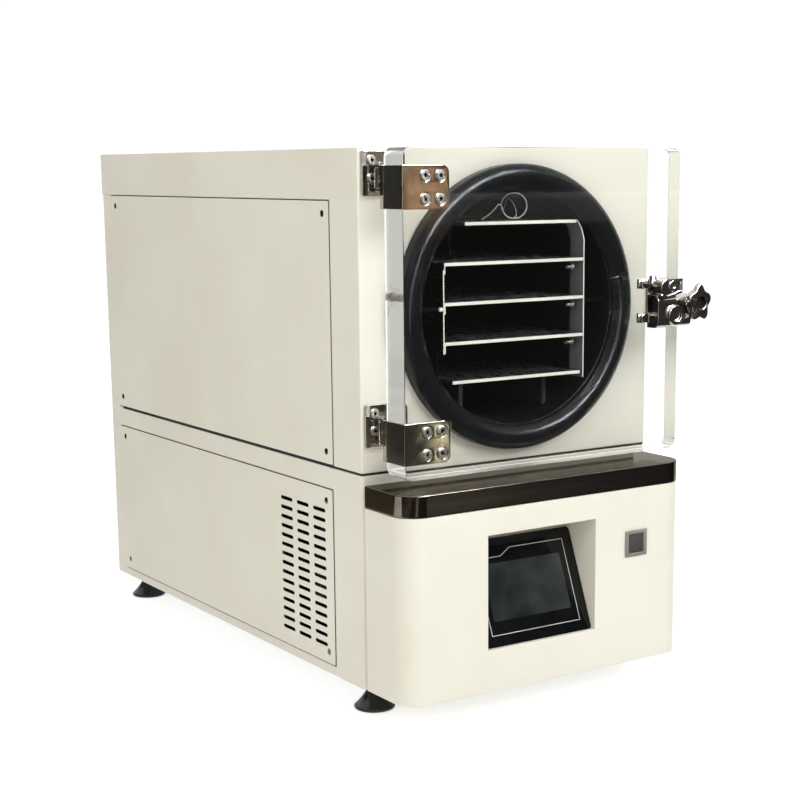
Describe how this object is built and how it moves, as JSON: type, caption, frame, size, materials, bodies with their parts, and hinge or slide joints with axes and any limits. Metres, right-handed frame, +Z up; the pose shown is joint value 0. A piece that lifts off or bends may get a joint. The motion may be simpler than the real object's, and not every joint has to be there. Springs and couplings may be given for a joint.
{
  "type": "freeze dryer",
  "caption": "Benchtop freeze dryer: steel cabinet on levelling feet, round vacuum chamber with shelf rack behind a hinged clear door, control fascia with tilted touch panel.",
  "frame": {"origin": "on the floor, below the middle of the machine's outer box", "axes": "+Z up, -Y out of the door side, +X to the right as seen from the door side"},
  "size_m": [0.581, 1.142, 0.854],
  "materials": {
    "casing_paint": "fine-textured ivory powder coat",
    "mirror_steel": "polished stainless steel",
    "brushed_steel": "brushed stainless steel",
    "black_rubber": "smooth, slightly glossy",
    "black_plastic": "moulded, glossy",
    "screen_glass": "switched-off display behind a clear sheet",
    "grey_plastic": "moulded, satin",
    "clear_acrylic": "clear cast sheet with polished edges",
    "aluminium": "satin",
    "zinc_steel": "zinc-plated sheet",
    "copper": "copper tube",
    "foam": "closed-cell insulation",
    "white_plastic": "white slippery plastic"
  },
  "bodies": {
    "cabinet": {"lower_cabinet": "casing_paint", "upper_hood": "casing_paint", "seam_strip": "black_rubber", "base_pan": "zinc_steel", "mid_deck": "zinc_steel", "rear_panel": "casing_paint", "side_panel_upper_left": "casing_paint", "side_panel_upper_right": "casing_paint", "side_panel_lower_left": "casing_paint", "side_panel_lower_right": "casing_paint", "levelling_foot_front_left": "black_plastic", "levelling_foot_front_right": "black_plastic", "levelling_foot_rear_left": "black_plastic", "levelling_foot_rear_right": "black_plastic", "control_fascia": "casing_paint", "steel_tray_cap": "mirror_steel", "touch_panel_body": "black_plastic", "touch_screen": "screen_glass", "switch_frame": "grey_plastic", "control_box": "zinc_steel", "vacuum_chamber": "brushed_steel", "door_gasket": "black_rubber", "insulation_jacket": "foam", "cooling_coil": "copper", "drum_saddle_front": "zinc_steel", "drum_saddle_rear": "zinc_steel", "shelf_1": "aluminium", "shelf_2": "aluminium", "shelf_3": "aluminium", "shelf_4": "aluminium", "shelf_5": "aluminium", "rack_plate_left": "brushed_steel", "rack_plate_right": "brushed_steel", "rack_runner_left": "black_plastic", "rack_runner_right": "black_plastic", "rack_standoff_left": "black_plastic", "rack_standoff_right": "black_plastic", "probe_lead": "white_plastic", "hinge_base_upper": "mirror_steel", "hinge_pin_upper": "brushed_steel", "hinge_base_lower": "mirror_steel", "hinge_pin_lower": "brushed_steel", "latch_keeper": "brushed_steel", "compressor": "black_plastic", "condenser": "aluminium", "fan_shroud": "black_plastic", "suction_line": "copper", "discharge_line": "copper", "vacuum_port": "brushed_steel", "drain_valve_body": "brushed_steel", "power_inlet": "black_plastic"},
    "door": {"door_plate": "clear_acrylic", "hinge_leaf_upper": "mirror_steel", "hinge_leaf_lower": "mirror_steel", "latch_body": "mirror_steel"},
    "latch": {"latch_spindle": "brushed_steel", "latch_knob": "mirror_steel"},
    "condenser_fan": {"fan_rotor": "black_plastic"},
    "push_switch": {"switch_button": "grey_plastic"},
    "drain_lever": {"drain_valve_lever": "black_plastic"}
  },
  "joints": [
    {"name": "door_swing", "type": "hinge", "parent": "cabinet", "child": "door", "pos_m": [-0.26165, -0.45945, 0.614], "axis": [0, 0, -1], "range_deg": [0, 95]},
    {"name": "latch_turn", "type": "hinge", "parent": "door", "child": "latch", "pos_m": [0.26735, -0.50495, 0.6095], "axis": [0, -1, 0], "range_deg": [0, 90]},
    {"name": "fan_spin", "type": "hinge", "parent": "cabinet", "child": "condenser_fan", "pos_m": [-0.02365, 0.45505, 0.216], "axis": [0, 1, 0], "continuous": true},
    {"name": "switch_press", "type": "slide", "parent": "cabinet", "child": "push_switch", "axis": [0, 1, 0], "range_m": [0, 0.003], "stiffness_N_per_m": 500},
    {"name": "drain_lever_turn", "type": "hinge", "parent": "cabinet", "child": "drain_lever", "pos_m": [0.12635, 0.51705, 0.398], "axis": [0, 0, 1], "range_deg": [0, 90]}
  ]
}
